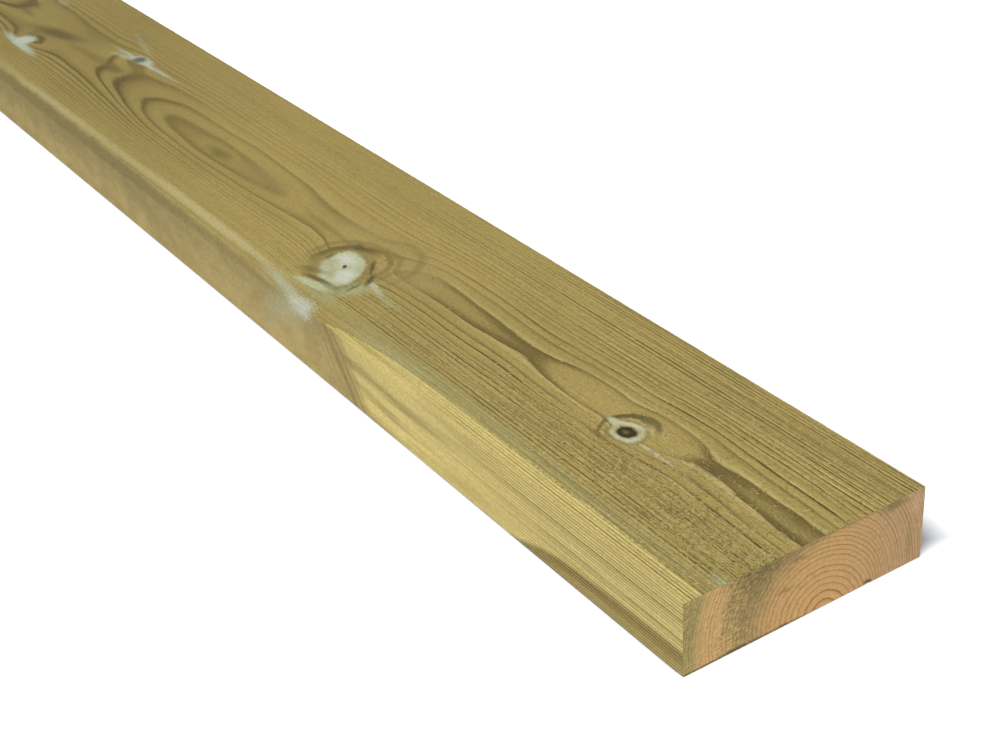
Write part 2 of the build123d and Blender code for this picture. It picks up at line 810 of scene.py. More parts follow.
    def _crest_marks(self, along: np.ndarray, across: np.ndarray) -> tuple[np.ndarray, np.ndarray]:
        """Says where the late wood is broad along the crest, and where the grain is faint.

        Args:
            along: places along the board, in mm.
            across: places across it, in mm.

        Returns:
            How broad the late wood is, and how clear the grain is, from 0 to 1.
        """
        crest, _ = self.log.crest(along)
        far = np.clip((along - self.far_crest_from) / self.far_crest_run, 0, 1)
        half = self.crest_half + self.far_crest * far
        shift = self.far_crest_shift * (half - self.crest_half)
        broad = np.exp(-(((across - crest + shift) / half) ** 2))
        for knot, (past, reach) in zip(self.log.knots, self.narrow_past):
            broad = broad * (1 - self.narrowing * np.exp(-(((along - knot.along - past) / reach) ** 2)))
        beside = (along - self.faint_along) / self.faint_half
        off = (across - crest) / self.crest_half
        return broad, 1 - self.fainting * np.exp(-(beside**4) - off**4)

    def _round(
        self, along: np.ndarray, across: np.ndarray, up: np.ndarray
    ) -> tuple[np.ndarray, np.ndarray, np.ndarray]:
        """Rounds the arrises and pulls the waney corner in to the round of the log.

        Args:
            along: places along the board, in mm.
            across: places across it, in mm.
            up: heights over the back face, in mm.

        Returns:
            The new places across, the new heights, and how far each point belongs to the waney edge.
        """
        radius = self.arris_radius
        core_across = np.clip(across, radius, self.strips_across[-1][1] - radius)
        core_up = np.clip(up, radius, self.strips_up[-1][1] - radius)
        off_across, off_up = across - core_across, up - core_up
        reach = np.maximum(np.hypot(off_across, off_up), 1e-9)
        pull = np.where(reach > radius, radius / reach, 1.0)
        across, up = core_across + off_across * pull, core_up + off_up * pull

        log = self.log
        from_pith_across = across - log.wane_pith_across
        from_pith_up = up + log.wane_pith_drop
        reach = np.hypot(from_pith_across, from_pith_up)
        wave = self.wane_wave * ripple(np.random.default_rng(WANE_SEED), along, up, self.wane_waves)
        pull = np.minimum(1.0, (log.outside(along) + wave) / reach)
        waned = np.clip((1 - pull) / self.wane_full, 0, 1)
        edge = np.maximum(np.clip(1 - across / radius, 0, 1), waned)
        return log.wane_pith_across + from_pith_across * pull, from_pith_up * pull - log.wane_pith_drop, edge

    def dress(
        self, board: bpy.types.Object, sawn: list[bpy.types.Material], ends: bpy.types.Material
    ) -> None:
        """Puts the finishes on the faces and ties the board to the frame.

        Args:
            board: the board's object.
            sawn: the finish of the sawn faces on each stretch.
            ends: the finish of the crosscut ends.
        """
        for material in (*sawn, ends):
            board.data.materials.append(material)
        for polygon in board.data.polygons:
            along = (self.high[0] - polygon.center.x) / MM
            stretch = sum(along > stop for stop in self.stretches[:-1])
            polygon.material_index = len(sawn) if abs(polygon.normal.x) > self.end_facing else stretch
        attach(board, BODY)
        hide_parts(self.replaced)


@dataclass
class TornFibres:
    """Short slivers that the saw tore up and left standing on the front face."""

    board: SawnBoard
    count: int = 3000
    name: str = "torn_fibres"

    # Sizes of a sliver, in mm. They are thicker than real ones, which are too fine to show in the render.
    lengths: tuple[float, float] = (1.1, 4.2)
    radii: tuple[float, float] = (0.15, 0.30)
    lifts: tuple[float, float] = (0.12, 0.52)
    sink: float = 0.05

    # Shares of that length, and how much thinner its tip is
    shortening: tuple[float, float] = (0.5, 1.0)
    thinning: float = 0.75

    # How far it heads off the grain and curls, in radians, and the part of a half wave that it rises by
    heading: float = 0.8
    curls: tuple[float, float] = (-1.7, 1.7)
    arch: tuple[float, float] = (0.05, 0.8)
    points: int = 5
    sides: int = 3

    # Share of them near the trimmed end, and how far from it these and the others stand, in mm
    near_share: float = 0.74
    near_reach: float = 90.0
    far_reach: float = 1790.0
    along_limits: tuple[float, float] = (1.0, 1795.0)

    # Share of them where the saw tore most, with the middle and reach of that strip and the limits of
    # the others as shares of the width
    strip_share: float = 0.64
    strip: tuple[float, float] = (0.29, 0.10)
    elsewhere: tuple[float, float] = (0.10, 0.98)

    # Clear of the two arrises, in mm, of the knots, in radii of their discs, and along and across of the
    # board's edges
    arris_clear: tuple[float, float] = (11.0, 2.0)
    knot_clear: float = 1.4
    edge_clear: tuple[float, float] = (0.4, 0.5)

    def build(self) -> bpy.types.Object:
        """Lays every sliver on the face in one mesh.

        Returns:
            The slivers' object.
        """
        rng = np.random.default_rng(SLIVER_SEED)
        along, across = self._scatter(rng)
        count, points, sides = len(along), self.points, self.sides
        length = rng.uniform(*self.lengths, count) * rng.uniform(*self.shortening, count)
        heading = rng.normal(0, self.heading, count) + rng.choice((0, math.pi), count)
        curl = rng.uniform(*self.curls, count)
        lift = rng.uniform(*self.lifts, count)
        radius = rng.uniform(*self.radii, count)

        t = np.linspace(0, 1, points)
        turn = heading[:, None] + curl[:, None] * t
        step = length[:, None] / (points - 1)
        path_along = along[:, None] + np.cumsum(np.cos(turn) * step, 1)
        path_across = across[:, None] + np.cumsum(np.sin(turn) * step, 1)
        clear_along, clear_across = self.edge_clear
        path_across = np.clip(path_across, clear_across, self.board.strips_across[-1][1] - clear_across)
        path_along = np.clip(path_along, clear_along, None)
        ground = self.board.log.thickness - self.board.front_drop(path_along.ravel(), path_across.ravel())
        first, part = self.arch
        rise = lift[:, None] * np.sin(math.pi * np.minimum(t * part + first, 1))
        thick = radius[:, None] * (1.0 - self.thinning * t)
        height = ground.reshape(count, points) + rise - self.sink
        height = np.minimum(height, self.board.log.thickness - thick)

        around = np.linspace(0, 2 * math.pi, sides, endpoint=False)
        side = np.cos(around)[None, None] * thick[:, :, None]
        top = np.sin(around)[None, None] * thick[:, :, None]
        places = np.stack(
            [
                path_along[:, :, None] - np.sin(turn)[:, :, None] * side,
                path_across[:, :, None] + np.cos(turn)[:, :, None] * side,
                height[:, :, None] + top,
            ],
            -1,
        ).reshape(-1, 3)
        mesh = bpy.data.meshes.new(self.name)
        mesh.from_pydata(self.board.in_frame(*places.T).tolist(), [], self._faces(count))
        mesh.update()
        fibres = bpy.data.objects.new(self.name, mesh)
        bpy.context.scene.collection.objects.link(fibres)
        bpy.ops.object.select_all(action="DESELECT")
        fibres.select_set(True)
        bpy.context.view_layer.objects.active = fibres
        bpy.ops.object.mode_set(mode="EDIT")
        bpy.ops.mesh.select_all(action="SELECT")
        bpy.ops.mesh.normals_make_consistent(inside=False)
        bpy.ops.object.mode_set(mode="OBJECT")
        bpy.ops.object.shade_smooth()
        return fibres

    def _scatter(self, rng: np.random.Generator) -> tuple[np.ndarray, np.ndarray]:
        """Picks the slivers' places, thickest near the trimmed end.

        Args:
            rng: the source of the places.

        Returns:
            Places along and across the board, in mm.
        """
        width = self.board.strips_across[-1][1]
        near = int(self.count * self.near_share)
        along = np.concatenate(
            [
                np.abs(rng.normal(0, self.near_reach, near)),
                rng.uniform(0, self.far_reach, self.count - near),
            ]
        )
        across = np.where(
            rng.uniform(0, 1, self.count) < self.strip_share,
            rng.normal(*self.strip, self.count) * width,
            rng.uniform(*self.elsewhere, self.count) * width,
        )
        waney, square = self.arris_clear
        along, across = np.clip(along, *self.along_limits), np.clip(across, waney, width - square)
        clear = np.ones(len(along), bool)
        for knot in self.board.log.knots:
            clear &= np.hypot(along - knot.along, across - knot.across) > self.knot_clear * knot.disc
        return along[clear], across[clear]

    def _faces(self, count: int) -> list[tuple[int, ...]]:
        """Lists the faces of all slivers.

        Args:
            count: how many slivers there are.

        Returns:
            The corners of each face.
        """
        faces = []
        sides, points = self.sides, self.points
        for start in range(0, count * points * sides, points * sides):
            for ring in range(points - 1):
                base = start + ring * sides
                for i in range(sides):
                    j = (i + 1) % sides
                    faces.append((base + i, base + j, base + sides + j, base + sides + i))
            last = start + (points - 1) * sides
            faces.append(tuple(range(start, start + sides)))
            faces.append(tuple(range(last, last + sides)))
        return faces

    def dress(self, fibres: bpy.types.Object, finish: bpy.types.Material) -> None:
        """Puts the finish on the fibres and ties them to the frame.

        Args:
            fibres: the fibres' object.
            finish: their material.
        """
        fibres.data.materials.append(finish)
        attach(fibres, BODY)


RIM, ARC = StainShape.RIM, StainShape.ARC


def pale_knot(
    along: float, across: float, half_along: float, half_across: float, turn: float
) -> tuple[Stain, ...]:
    """Lists the stains of a sound knot: a ring of bark, a mottled pale disc and a dark pith.

    Args:
        along: the knot's place along the board, in mm.
        across: its place across, in mm.
        half_along: half the disc's length, in mm.
        half_across: half its width, in mm.
        turn: how far it is turned about the face's normal, in degrees.

    Returns:
        The stains, from the lowest to the uppermost.
    """
    long, wide = half_along, half_across
    return (
        Stain(along, across, 1.5 * long, 1.45 * wide, "#6E6036", 0.5, 0.16, turn + 80, shape=ARC, grit=0.2),
        Stain(along, across, 1.22 * long, 1.24 * wide, "#746639", 0.6, 0.24, turn, shape=RIM, grit=0.8),
        Stain(along, across, long, wide, "#C1C5A0", 0.95, 0.14, turn, grit=0.2),
        Stain(along + 0.4 * long, across, 0.4 * long, 0.4 * wide, "#D1D5C2", 0.7, 0.7, turn, grit=0.8),
        Stain(along - 0.5 * long, across - 0.2 * wide, 0.3 * long, 0.4 * wide, "#ADAB80", 0.7, 0.7, turn),
        Stain(along, across + 0.1 * wide, 2.0, 1.3, "#423C2A", 0.95, 0.4, turn),
    )


FACE_STAINS = (
    # Green-white preservative beside the pale strip
    Stain(150, 13.5, 130, 4.0, "#A5A874", 0.34, 0.8, grit=0.8),
    Stain(228, 9.5, 34, 2.0, "#BDBD92", 0.32, 0.8, 4.0),
    Stain(2, 19, 6, 2.4, "#B8BF98", 0.5, 0.7, grit=1.0),
    # Pale band along the waney arris past the big knot
    Stain(405, 8.5, 85, 3.0, "#C4B680", 0.85, 0.5, grit=1.0),
    Stain(560, 7.0, 110, 2.8, "#BDAF78", 0.7, 0.5, grit=1.0),
    Stain(640, 5.0, 60, 2.2, "#C1B381", 0.7, 0.7),
    Stain(950, 7.0, 300, 3.6, "#B5A870", 0.6, 0.7),
    # Olive wane along the arris, fading down the edge
    Stain(640, 0.0, 330, 3.0, "#86794C", 0.55, 0.9, up=28, half_up=12, grit=0.8),
    Stain(620, 0.5, 290, 3.6, "#7F7247", 0.85, 0.4, up=31, half_up=4),
    # The first tongue of late wood, browner inside and dark at its tip
    Stain(22, 63.6, 34, 4.0, "#7C6C3E", 0.4, 0.7, grit=0.8),
    Stain(61, 63.6, 7.0, 3.4, "#62542E", 0.6, 0.8, grit=0.8),
    # The small knot with the dark heart, and arcs of bark beside it
    Stain(84, 54.5, 11, 2.8, "#AB985C", 0.75, 0.6, 23, grit=0.8),
    Stain(102.5, 53.5, 14.0, 12.6, "#62552F", 0.8, 0.20, 104, shape=ARC, grit=0.12),
    Stain(104.5, 54, 11.6, 10.4, "#62552F", 0.75, 0.20, 126, shape=ARC, grit=0.2),
    Stain(104.5, 54.5, 11.8, 11.4, "#62572F", 0.75, 0.15, 205, shape=ARC, grit=0.2),
    Stain(85, 53.0, 9, 0.65, "#C4C8A8", 0.85, 0.8, grit=2.2),
    Stain(70, 52.8, 9, 0.6, "#B3B88C", 0.45, 0.9, grit=2.6),
    Stain(103.0, 54.0, 9.0, 7.6, "#565029", 0.45, 0.22, -8, shape=RIM, grit=0.5),
    Stain(112.0, 55.0, 5.0, 2.2, "#BFC29C", 0.95, 0.4, 4, grit=0.4),
    Stain(102.8, 54.0, 8.4, 6.8, "#C0BB90", 0.95, 0.18, -12, grit=0.25),
    Stain(98.3, 52.6, 2.4, 3.8, "#D2D2B4", 0.8, 0.6, 10, grit=1.4),
    Stain(105.5, 58.8, 5.0, 1.5, "#CFCFAF", 0.75, 0.7, 20, grit=1.4),
    Stain(103.5, 48.9, 4.4, 1.4, "#CDCDAC", 0.75, 0.7, -10, grit=1.4),
    Stain(103.4, 53.9, 6.0, 5.0, "#9A8C5A", 0.75, 0.25, grit=0.5),
    Stain(103.3, 53.9, 4.7, 4.1, "#2E270C", 1.0, 0.16, grit=0.3),
    Stain(104.2, 54.1, 1.6, 1.3, "#6E6234", 0.85, 0.7, grit=0.8),
    # The big pale knot, with its collar, bark and the green-white wood round it, and plain wood beside it
    Stain(276, 59, 15, 10, "#A6925A", 0.8, 0.7, grit=0.8),
    Stain(318, 70, 38, 5.0, "#A6925A", 0.65, 0.8, 10, grit=0.8),
    Stain(356, 52.6, 24, 1.7, "#7A6B3E", 0.5, 0.8, -2, grit=0.6),
    Stain(310, 40, 36, 29, "#7E6E3E", 0.4, 0.09, 64, shape=ARC, grit=0.1),
    Stain(311, 38, 27, 22, "#7A6B3C", 0.45, 0.11, 60, shape=ARC, grit=0.1),
    Stain(311, 38, 22.5, 19, "#6E5F34", 0.55, 0.12, 72, shape=ARC, grit=0.1),
    Stain(313, 38, 26, 22, "#776839", 0.45, 0.12, 150, shape=ARC, grit=0.12),
    Stain(312, 37, 20.8, 18.0, "#5C4F2A", 0.80, 0.19, 146, shape=ARC, grit=0.2),
    Stain(310, 34, 21.5, 14.6, "#7D7143", 0.55, 0.26, -35, shape=RIM, grit=0.8),
    Stain(287, 27, 6.0, 9.0, "#B0B387", 0.75, 0.6, -25, grit=1.4),
    Stain(292, 13.0, 14, 4.2, "#A8A878", 0.6, 0.7, grit=1.6),
    Stain(299, 27, 12, 8, "#827D4D", 0.55, 0.4, -40, grit=1.0),
    Stain(279.6, 37, 9, 1.7, "#C3CAA8", 0.75, 0.8, -10, grit=0.9),
    Stain(264, 34.5, 11, 2.2, "#B2B486", 0.35, 0.9, grit=1.2),
    Stain(309.6, 35.0, 18.4, 11.2, "#C1C5A0", 0.97, 0.12, -39, grit=0.16),
    Stain(316, 40.0, 6.5, 5.0, "#D5D9C6", 0.9, 0.7, -35, grit=0.8),
    Stain(302, 32.0, 6.5, 4.5, "#D4D9C6", 0.85, 0.7, -35, grit=0.8),
    Stain(319, 34.0, 4.5, 4.5, "#B1AF84", 0.75, 0.7, -10, grit=1.0),
    Stain(309.5, 29.0, 6.0, 2.2, "#AEAD82", 0.7, 0.7, -35, grit=1.0),
    Stain(303, 41.0, 4.0, 1.6, "#B0AF86", 0.6, 0.7, -35, grit=1.0),
    Stain(325.5, 37.0, 3.2, 1.6, "#6A6240", 0.7, 0.6, -70, grit=0.6),
    Stain(304, 15.6, 13.0, 2.8, "#C2C79E", 0.9, 0.45, 13, grit=0.7),
    Stain(307, 20.2, 11.0, 1.5, "#655B34", 0.85, 0.5, 13, grit=0.6),
    Stain(318, 23.0, 9.0, 2.6, "#6F6439", 0.6, 0.6, 24, grit=0.6),
    Stain(290, 39.5, 6.0, 1.6, "#4E4629", 0.85, 0.6, -48, grit=0.8),
    Stain(288, 29.0, 5.0, 1.0, "#5F5833", 0.7, 0.7, -75, grit=1.0),
    Stain(301.6, 47.8, 6.5, 1.3, "#564C2C", 0.85, 0.6, -38, grit=0.8),
    Stain(325, 54.0, 5.0, 2.2, "#5A4D2A", 0.6, 0.7, -20, grit=0.8),
    Stain(310.3, 37.0, 3.8, 2.7, "#AFA77C", 0.35, 0.4, -35, shape=RIM, grit=0.8),
    Stain(310.3, 37.0, 2.1, 1.3, "#423C2A", 0.95, 0.4, -35),
    Stain(290, 1.0, 11, 4.5, "#C8CCB8", 0.85, 0.5, up=32.5, half_up=5, grit=1.8),
    Stain(301, 0.0, 13, 4.5, "#B4B694", 0.5, 0.7, up=27, half_up=6, grit=2.0),
    Stain(316, 0.0, 10, 4.5, "#B0B08C", 0.42, 0.7, up=20, half_up=7, grit=2.2),
    Stain(328, 0.0, 8, 4.5, "#ACAA84", 0.34, 0.7, up=12, half_up=7, grit=2.2),
    Stain(312, 4.0, 20, 2.6, "#BDC0A0", 0.75, 0.7, -4, up=33.5, half_up=4, grit=1.4),
    # The far knots
    Stain(650, 79, 36, 1.6, "#C4CCB4", 0.8, 0.8, 2.0, grit=0.9),
    Stain(668, 76, 15, 2.6, "#BCC1A0", 0.65, 0.7, 14, grit=0.8),
    Stain(656, 80.5, 11, 4.0, "#C0CAB4", 0.85, 0.45, grit=0.6),
    Stain(659, 79.5, 5.4, 4.0, "#5E6152", 0.9, 0.5, grit=0.6),
    Stain(694, 95.6, 9, 3.4, "#7F7A58", 0.55, 0.7, -14),
    Stain(682, 92.5, 24, 1.8, "#AFAE84", 0.45, 0.8, -12, grit=0.8),
    Stain(656, 59.5, 10, 4.2, "#6E5F36", 0.8, 0.7),
    Stain(690, 58.0, 30, 3.2, "#80703D", 0.65, 0.8, 4),
    Stain(748, 57, 25, 6.0, "#625330", 0.85, 0.7, 14),
    Stain(759, 44.5, 6, 3.4, "#6E6542", 0.55, 0.7),
    Stain(746, 29.5, 26, 3.4, "#C2C9B2", 0.9, 0.5, -2, grit=0.6),
    Stain(750, 35, 7.5, 7.5, "#C9CFBC", 0.95, 0.4, 10, grit=0.6),
    Stain(809, 58, 13, 2.6, "#75663C", 0.6, 0.7),
    Stain(809, 86, 7, 2.6, "#B0AA84", 0.6, 0.7),
    Stain(434, 54, 24, 9, "#A08C55", 0.55, 0.8, grit=0.6),
    Stain(483, 52, 11, 3.4, "#6C5D34", 0.7, 0.9),
    # Knots past the end of the photograph
    *pale_knot(1080, 40, 12.5, 9.6, -30),
    *pale_knot(1425, 68, 10.5, 7.6, 24),
    *pale_knot(1690, 36, 13.0, 9.4, -20),
    Stain(1108, 84, 8.8, 7.6, "#70643A", 0.7, 0.16, shape=RIM),
    Stain(1108, 84, 7.5, 6.4, "#C3C49E", 0.9, 0.2),
    Stain(1108, 84, 4.8, 4.4, "#9A8C5A", 0.75, 0.25),
    Stain(1108, 84, 3.8, 3.5, "#352D18", 1.0, 0.15),
)

END_STAINS = (
    # Fuzzy green late wood under the front arris, specks of it lower down, a dark line along the back that is
    # partly painted shade where the board meets the floor and partly a dark arris, and a dark spot at the
    # chip
    Stain(0, 38, 3, 15, "#7E7044", 0.7, 0.9, up=33.0, half_up=4.0, grit=2.2),
    Stain(0, 34, 3, 9, "#7C6F44", 0.5, 0.9, up=28.0, half_up=5.5, grit=2.4),
    Stain(0, 30, 3, 8, "#80734A", 0.3, 0.9, up=20.0, half_up=8.0, grit=3.0),
    Stain(0, 4, 3, 4, "#7E734C", 0.25, 0.9, up=24.0, half_up=12.0, grit=3.0),
    Stain(0, 72, 3, 20, "#8A7A4C", 0.6, 0.8, up=33.6, half_up=1.2, grit=2.4),
    Stain(0, 103, 3, 6, "#85764A", 0.75, 0.7, up=32.2, half_up=2.4, grit=1.0),
    Stain(0, 49, 3, 3.4, "#8B7A4C", 0.6, 0.8, up=17, half_up=1.0, grit=1.4),
    Stain(0, 55, 3, 3.6, "#8B7A4C", 0.5, 0.8, up=29, half_up=1.0, grit=1.4),
    Stain(0, 113, 3, 1.3, "#9C8A60", 0.5, 0.8, up=11, half_up=9, grit=0.8),
    Stain(0, 116, 3, 3, "#DDB590", 0.5, 0.7, up=28, half_up=4.5),
    # Painted shade along the back edge where the board meets the floor, over a dark arris
    Stain(0, 22, 3, 36, "#574A28", 0.85, 0.5, up=0.2, half_up=0.9),
    Stain(0, 91.5, 3, 2.0, "#5E4A2E", 0.8, 0.5, up=0.8, half_up=1.2),
)


def lay_stains(
    tree: Tree, coords: Socket, colour: Socket, stains: tuple[Stain, ...], high: Vector, low: Vector
) -> Socket:
    """Lays stains over a colour, with wandering, gritty edges.

    Args:
        tree: the node tree.
        coords: the object coordinates.
        colour: the colour so far.
        stains: the stains, from the lowest to the uppermost.
        high: the board's highest corner.
        low: its lowest corner.

    Returns:
        The colour socket with the stains.
    """
    # Sizes and reaches of the bends in an edge, and the size of its grit, in mm
    bends, grit_size = ((9.0, 2.2), (2.2, 0.7)), 1.3
    bent = coords
    for size, reach in bends:
        fine = {"Scale": 1 / (size * MM), "Detail": 2.0}
        noise = add_node(tree, Kind.NOISE, fine, {"Vector": coords}, "Color")
        shift = {"operation": "MULTIPLY_ADD", 1: (reach * MM,) * 3, 2: (-reach / 2 * MM,) * 3}
        moved = add_node(tree, Kind.VECTOR, shift, {0: noise})
        bent = add_node(tree, Kind.VECTOR, PLUS, {0: bent, 1: moved})
    noise = add_node(tree, Kind.NOISE, {"Scale": 1 / (grit_size * MM), "Detail": 2.0}, {"Vector": coords})
    grit = add_node(tree, Kind.MATH, {"operation": "SUBTRACT", 1: 0.5}, {0: noise})
    for stain in stains:
        centre = (high[0] - stain.along * MM, low[1] + stain.across * MM, low[2] + stain.up * MM)
        own = add_node(
            tree,
            Kind.MAPPING,
            {
                "vector_type": "TEXTURE",
                "Location": centre,
                "Rotation": (0, 0, math.radians(stain.turn)),
                "Scale": (stain.half_along * MM, stain.half_across * MM, stain.half_up * MM),
            },
            {"Vector": bent},
        )
        reach = add_node(tree, Kind.VECTOR, {"operation": "LENGTH"}, {0: own}, "Value")
        ragged = {"operation": "MULTIPLY_ADD", 1: stain.grit}
        reach = add_node(tree, Kind.MATH, ragged, {0: grit, 2: reach})
        limits = (1 + stain.soft, 1 - stain.soft)
        if stain.shape is not StainShape.PATCH:
            off = add_node(tree, Kind.MATH, {"operation": "SUBTRACT", 1: 1.0}, {0: reach})
            reach = add_node(tree, Kind.MATH, {"operation": "ABSOLUTE"}, {0: off})
            limits = (stain.soft, 0.25 * stain.soft)
        cover = remap(tree, reach, *limits, 0.0, stain.strength, soft=True)
        if stain.shape is StainShape.ARC:
            ahead = coordinate(tree, own, "X")
            facing = remap(tree, ahead, 0.25, 0.75)
            cover = times(tree, cover, facing)
        colour = tint(tree, cover, colour, stain.colour)
    return colour


@dataclass(frozen=True)
class SawnPine:
    """Rough-sawn softwood, tinted green by pressure treatment: dull and even, with thin sunk lines of
    dark late wood darkened further by painted shade, painted highlights on the ridges behind them, torn
    fuzz with painted light and shade, and a paler, smoother outer edge."""

    high: Vector
    low: Vector
    start: float
    stop: float
    name: str = "pressure_treated_pine_rough_sawn"
    early: str = "#AB9757"
    # The late wood's colour, darkened to also hold the painted shade in its sunk lines
    late: str = "#594A20"
    # Colour of the painted highlights on the ridges behind the late wood and on the standing fuzz
    ridge_highlight: str = "#C8B87C"
    pale_early: str = "#D9C57C"
    pale_late: str = "#7B6734"
    brown_early: str = "#B9A368"
    brown_late: str = "#857443"
    growth: str = "#5C4514"
    roughness: float = 0.78
    specular: float = 0.25

    # Sizes of the patterns, along and across the grain, in mm. Real fibres and fuzz are too fine to show
    # in the render, so fibre, fuzz and speck are drawn as coarse as they need to show.
    fibre: tuple[float, float] = (55.0, 0.9)
    fuzz: tuple[float, float] = (1.9, 0.65)
    speck: tuple[float, float] = (1.5, 1.1)
    fray: tuple[float, float] = (26.0, 2.0)
    breaks: tuple[float, float] = (46.0, 3.2)
    blotch: tuple[float, float] = (120.0, 28.0)
    saw_line: tuple[float, float] = (340.0, 1.5)
    wander: tuple[float, float] = (200.0, 9.0)
    saw_pitch: float = 1.5
    deep_line: tuple[float, float] = (60.0, 1.6)
    scores: Stations = (
        (12.1, 0.6), (14.2, 0.5), (16.4, 1.0), (18.3, 0.4),
        (20.3, 0.9), (23.4, 0.5), (25.6, 1.0), (28.6, 0.5),
    )
    score_half: float = 0.7
    fan_line: float = 5.0
    soft_line: tuple[float, float] = (90.0, 6.0)
    mottle: tuple[float, float] = (16.0, 9.0)
    relief: float = 0.5

    # The pale sawn edge turns brown on a slant, this far from the trimmed end and per mm of height
    turn: float = 228.0
    turn_slant: float = 0.75
    fan: float = 34.0
    saw_lines_end: float = 150.0
    saw_lines_fade: float = 50.0

    # Where dark sap starts to show and is boldest, and where the face starts to be darker and is
    # darkest, from the trimmed end
    sap: tuple[float, float] = (530.0, 610.0)
    darker_far: tuple[float, float] = (400.0, 650.0)

    def build(self) -> bpy.types.Material:
        """Makes the material.

        Returns:
            The material.
        """
        material, tree, coords = start_finish(f"{self.name}_{self.start:.0f}_to_{self.stop:.0f}")
        marks = {
            name: add_node(tree, Kind.ATTRIBUTE, {"attribute_name": name}, {}, "Fac")
            for name in ("ring", "edge", "torn", "crest", "faint", "outer", "growth")
        }
        for name in ("fibre", "fuzz", "speck"):
            marks[name] = streaks(tree, coords, getattr(self, name))
        dark, ridge_highlight = self._grain(tree, coords, marks)
        colour = self._colour(tree, coords, marks, dark, ridge_highlight)
        # Painted light and shade of the torn fuzz
        colour = self._fuzz_light_and_shade(tree, colour, marks)
        stains = tuple(stain for stain in FACE_STAINS if stain.reaches(self.start, self.stop))
        colour = lay_stains(tree, coords, colour, stains, self.high, self.low)
        # Knots and stains are mottled too
        spot = remap(tree, marks["speck"], 0.3, 0.7, 0.90, 1.10)
        colour = scaled(tree, colour, spot)

        standing = plus(tree, marks["fibre"], marks["fuzz"])
        sunk = add_node(tree, Kind.MATH, {"operation": "MULTIPLY_ADD", 1: -1.0}, {0: dark, 2: standing})
        height = times(tree, sunk, marks["torn"])
        deep = {"Strength": 0.8, "Distance": self.relief * MM}
        bump = add_node(tree, Kind.BUMP, deep, {"Height": height})
        rough = remap(tree, marks["fuzz"], 0.0, 1.0, self.roughness - 0.10, self.roughness + 0.12)
        links = {"Base Color": colour, "Normal": bump, "Roughness": rough}
        feed_shader(tree, {"Specular IOR Level": self.specular}, links)
        return material

    def _grain(self, tree: Tree, coords: Socket, marks: dict[str, Socket]) -> tuple[Socket, Socket]:
        """Dark late wood from the ring count, frayed, broken and of uneven weight, darkened further by
        painted shade in its sunk lines and in torn grooves.

        Args:
            tree: the node tree.
            coords: the object coordinates.
            marks: the mesh's attributes and the fine noises.

        Returns:
            The sockets with the darkness of the grain, which is partly late wood and partly painted shade,
            and with the painted highlights on the ridges.
        """
        ring, torn, crest = marks["ring"], marks["torn"], marks["crest"]
        loose = streaks(tree, coords, self.fray)
        loose = remap(tree, loose, 0.2, 0.8, -0.12, 0.12)
        loose = times(tree, loose, torn)
        phase = plus(tree, ring, loose)
        phase = fraction(tree, phase)
        # Where the rings crest they are cut flat, so their late wood is broad, and elsewhere it is a line
        broad_stops = ((0.0, 0.40), (0.05, 0.02), (0.58, 0.03), (0.74, 0.17), (0.85, 0.62), (0.95, 0.84))
        narrow_stops = ((0.0, 0.5), (0.06, 0.0), (0.60, 0.0), (0.78, 0.4), (0.90, 1.0), (0.97, 0.9))
        ridge_highlight_stops = ((0.0, 0.2), (0.07, 1.0), (0.18, 0.6), (0.32, 0.0))
        blurred_stops = ((0.0, 0.42), (0.14, 0.10), (0.44, 0.03), (0.68, 0.22), (0.87, 0.62), (0.97, 0.56))
        broad = ramp(tree, phase, broad_stops)
        blurred = ramp(tree, phase, blurred_stops)
        # Dark sap makes them bolder towards the far knots
        along = coordinate(tree, coords, "X")
        bold = remap(tree, along, *(self.high[0] - place * MM for place in self.sap), 0.9, 1.4)
        blurred = times(tree, blurred, bold)
        worn = remap(tree, torn, 0.55, 0.32)
        broad = blend(tree, worn, broad, blurred)
        narrow = ramp(tree, phase, narrow_stops)
        # Painted highlights on the ridges just behind each ring's late wood
        ridge_highlight = ramp(tree, phase, ridge_highlight_stops)
        one_way = {"noise_dimensions": "1D", "Scale": 0.9, "Detail": 1.0}
        weight = add_node(tree, Kind.NOISE, one_way, {"W": ring})
        weight = remap(tree, weight, 0.32, 0.58, 0.40, 1.0)
        broken = streaks(tree, coords, self.breaks)
        broken = remap(tree, broken, 0.36, 0.58, 0.42, 1.15)
        weight = times(tree, weight, broken)
        strong = remap(tree, torn, 0.25, 0.70, 0.30, 1.2)
        weight = times(tree, weight, strong)
        thin = times(tree, narrow, weight)
        late = blend(tree, crest, thin, broad)
        late = times(tree, late, marks["faint"])
        # Painted shade in torn grooves, where the saw tore most
        badly = remap(tree, torn, 0.42, 1.05)
        groove = remap(tree, marks["fibre"], 0.45, 0.36, 0.0, 0.42)
        groove = times(tree, groove, badly)
        grain = greater(tree, late, groove)
        plain = remap(tree, marks["edge"], 0.0, 1.0, 1.0, 0.12)
        dark = add_node(tree, Kind.MATH, TIMES | {"use_clamp": True}, {0: grain, 1: plain})
        ridge_highlight = times(tree, ridge_highlight, weight)
        ridge_highlight = times(tree, ridge_highlight, plain)
        return dark, ridge_highlight

    def _edge_lines(self, tree: Tree, coords: Socket, along: Socket) -> Socket:
        """Straight lines from the saw on the near stretch of the waney edge, and soft bands past it.

        Args:
            tree: the node tree.
            coords: the object coordinates.
            along: the X coordinate.

        Returns:
            The darkness of the lines.
        """
        end, fade = self.high[0] - self.saw_lines_end * MM, self.saw_lines_fade * MM
        lined = remap(tree, along, end - fade, end + fade)
